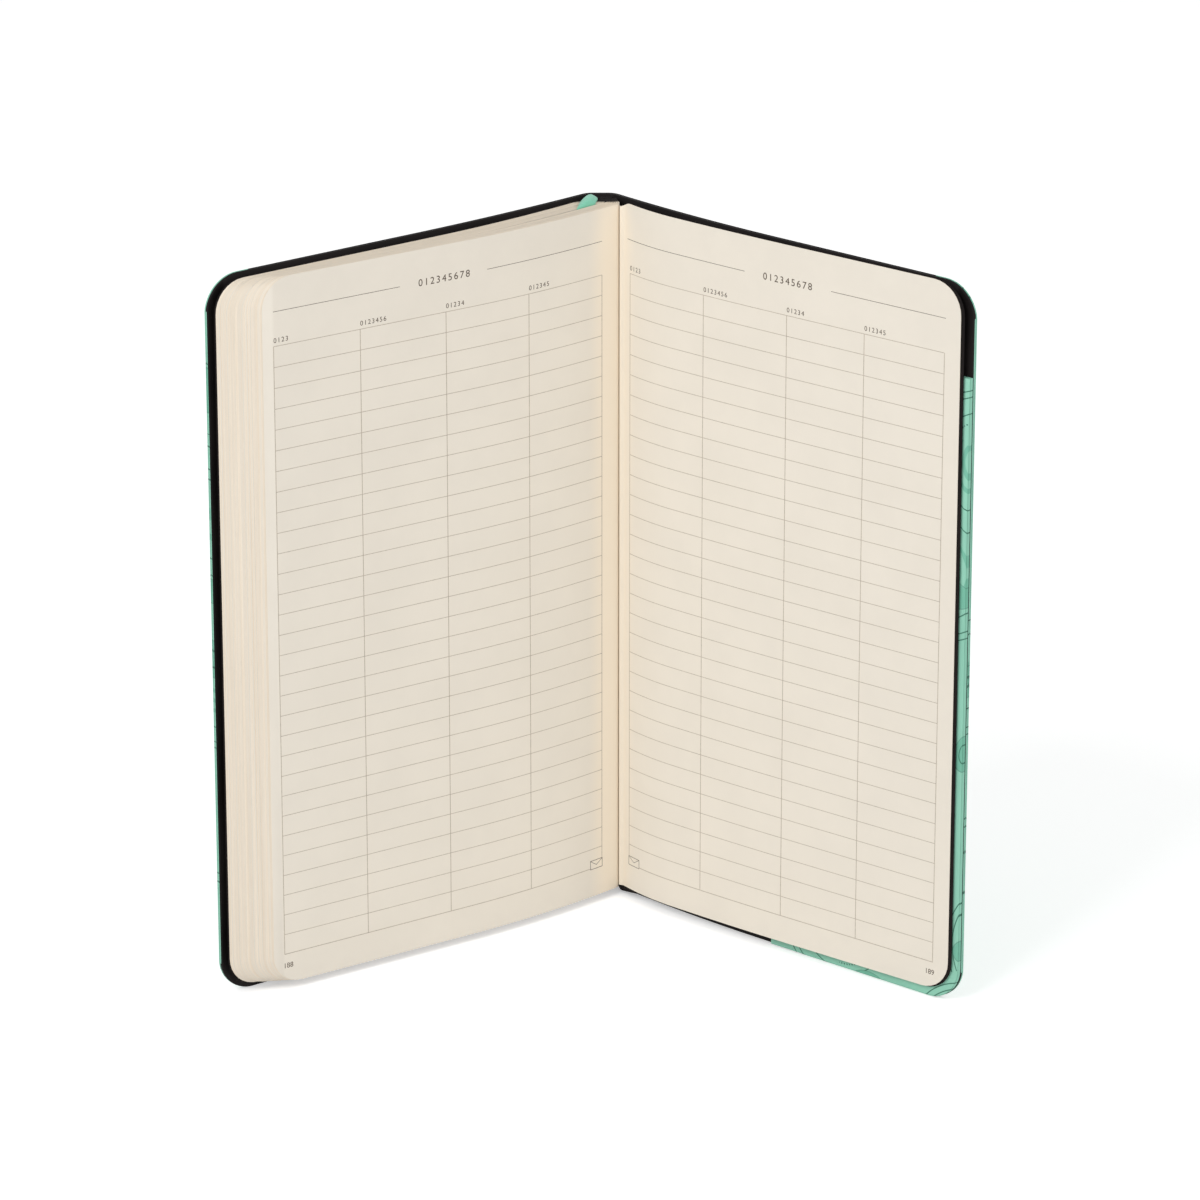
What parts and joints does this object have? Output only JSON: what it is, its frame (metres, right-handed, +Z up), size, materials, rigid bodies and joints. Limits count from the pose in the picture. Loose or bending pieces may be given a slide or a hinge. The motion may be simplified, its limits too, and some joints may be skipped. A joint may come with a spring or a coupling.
{
  "type": "soft cover notebook",
  "caption": "Soft cover notebook standing open on its tail edges, with sewn leaves, a ribbon bookmark and an inner back pocket.",
  "frame": {"origin": "middle of the spine card's foot, on the floor", "axes": "+Z up along the spine, -Y from the spine towards the open pages, +X towards the back cover"},
  "size_m": [0.2081, 0.0882, 0.2105],
  "materials": {
    "cover_skin": "matt, printed tone on tone",
    "lining_card": "matt black",
    "page_paper": "uncoated cream",
    "flyleaf_black": "matt black",
    "sewing_thread": "waxed",
    "mull_cloth": "open weave",
    "backbone_glue": "flexible",
    "ribbon": "fine woven",
    "pocket_paper": "matt, printed tone on tone"
  },
  "bodies": {
    "book": {"spine_skin": "cover_skin", "spine_card": "lining_card", "signature_01": "page_paper", "signature_02": "page_paper", "signature_03": "page_paper", "signature_04": "page_paper", "signature_05": "page_paper", "signature_06": "page_paper", "signature_07": "page_paper", "signature_08": "page_paper", "signature_09": "page_paper", "signature_10": "page_paper", "signature_11": "page_paper", "signature_12": "page_paper", "last_leaf_stub": "page_paper", "sewing_thread_1": "sewing_thread", "sewing_thread_2": "sewing_thread", "sewing_thread_3": "sewing_thread", "sewing_thread_4": "sewing_thread", "backbone_glue": "backbone_glue", "mull": "mull_cloth", "ribbon_bookmark": "ribbon"},
    "front_cover": {"front_cover_skin": "cover_skin", "front_cover_card": "lining_card"},
    "front_flyleaf": {"front_flyleaf": "flyleaf_black"},
    "back_joint": {"back_joint_skin": "cover_skin", "back_joint_card": "lining_card"},
    "back_cover": {"back_cover_skin": "cover_skin", "back_cover_card": "lining_card", "pocket_panel": "pocket_paper", "pocket_foot_gusset": "pocket_paper", "pocket_side_gusset": "pocket_paper"},
    "last_leaves": {"last_leaf": "page_paper", "back_flyleaf": "flyleaf_black"}
  },
  "joints": [
    {"name": "front_cover_open", "type": "hinge", "parent": "book", "child": "front_cover", "pos_m": [-0.00376, 0.00037, 0], "axis": [0, 0, -1], "range_deg": [0, 100]},
    {"name": "front_flyleaf_turn", "type": "hinge", "parent": "book", "child": "front_flyleaf", "pos_m": [-0.0047, -0.00185, 0], "axis": [0, 0, -1], "range_deg": [0, 60]},
    {"name": "back_cover_open", "type": "hinge", "parent": "book", "child": "back_joint", "pos_m": [0.00376, 0.00037, 0], "axis": [0, 0, 1], "range_deg": [0, 100]},
    {"name": "back_cover_close", "type": "hinge", "parent": "back_joint", "child": "back_cover", "pos_m": [0.01039, -0.00606, 0], "axis": [0, 0, -1], "range_deg": [0, 78]},
    {"name": "last_leaf_turn", "type": "hinge", "parent": "book", "child": "last_leaves", "pos_m": [0.00601, -0.00758, 0], "axis": [0, 0, -1], "range_deg": [0, 79.56]}
  ],
  "couplings": [
    {"joint": "front_flyleaf_turn", "follows": "front_cover_open", "ratio": 0.6},
    {"joint": "last_leaf_turn", "follows": "back_cover_close", "ratio": 1.02}
  ]
}
